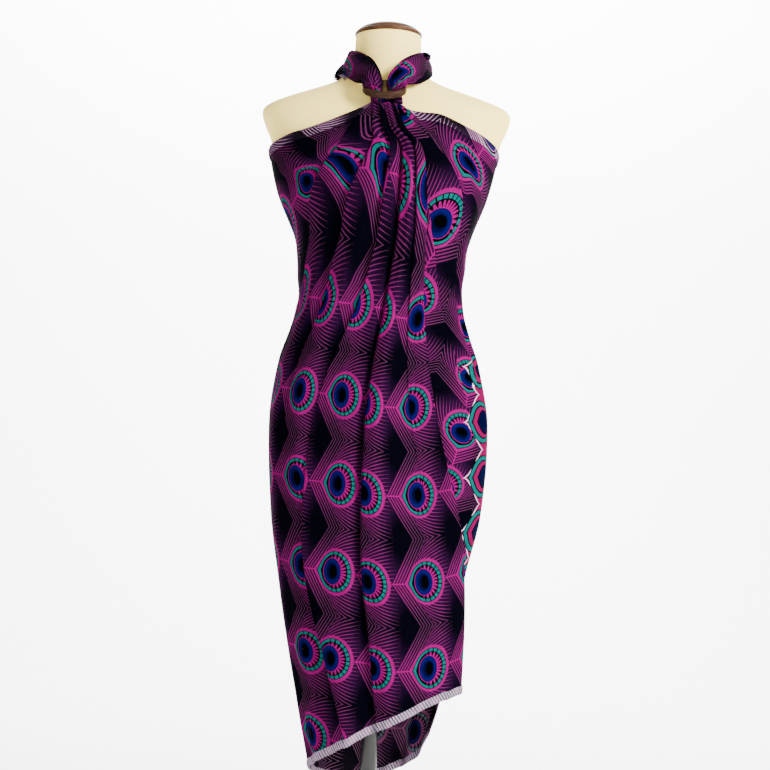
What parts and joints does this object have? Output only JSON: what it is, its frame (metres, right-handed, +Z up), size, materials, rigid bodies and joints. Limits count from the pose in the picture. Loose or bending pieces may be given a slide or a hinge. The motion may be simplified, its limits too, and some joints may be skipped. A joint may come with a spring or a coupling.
{
  "type": "sarong on dress form",
  "caption": "Printed sarong wrapped as a halter dress through a wooden buckle, on an armless dress form with a round stand.",
  "frame": {"origin": "on the floor under the middle of the stand's round base", "axes": "+Z up, -Y the dress's front, +X the viewer's right from the front"},
  "size_m": [0.43, 0.43, 1.5323],
  "materials": {
    "printed_cloth": "soft satin viscose with a feather-eye print",
    "cloth_reverse": "pale matt reverse of the printed cloth",
    "coconut_shell": "polished dark coconut shell",
    "form_cover": "smooth cream jersey",
    "cap_wood": "varnished walnut brown",
    "stand_steel": "brushed grey"
  },
  "bodies": {
    "root": {"front_panel": "printed_cloth", "under_panel": "printed_cloth", "back_panel": "printed_cloth", "top_hem_left": "cloth_reverse", "top_hem_right": "cloth_reverse", "top_hem_back": "cloth_reverse", "bottom_hem_front": "cloth_reverse", "bottom_hem_back": "cloth_reverse", "neck_strand_left": "printed_cloth", "neck_strand_right": "printed_cloth", "nape_knot": "printed_cloth", "tail_left": "printed_cloth", "tail_right": "printed_cloth", "buckle": "coconut_shell", "form_torso": "form_cover", "neck_cap": "cap_wood", "stand_pole": "stand_steel", "stand_base": "stand_steel"}
  },
  "joints": []
}
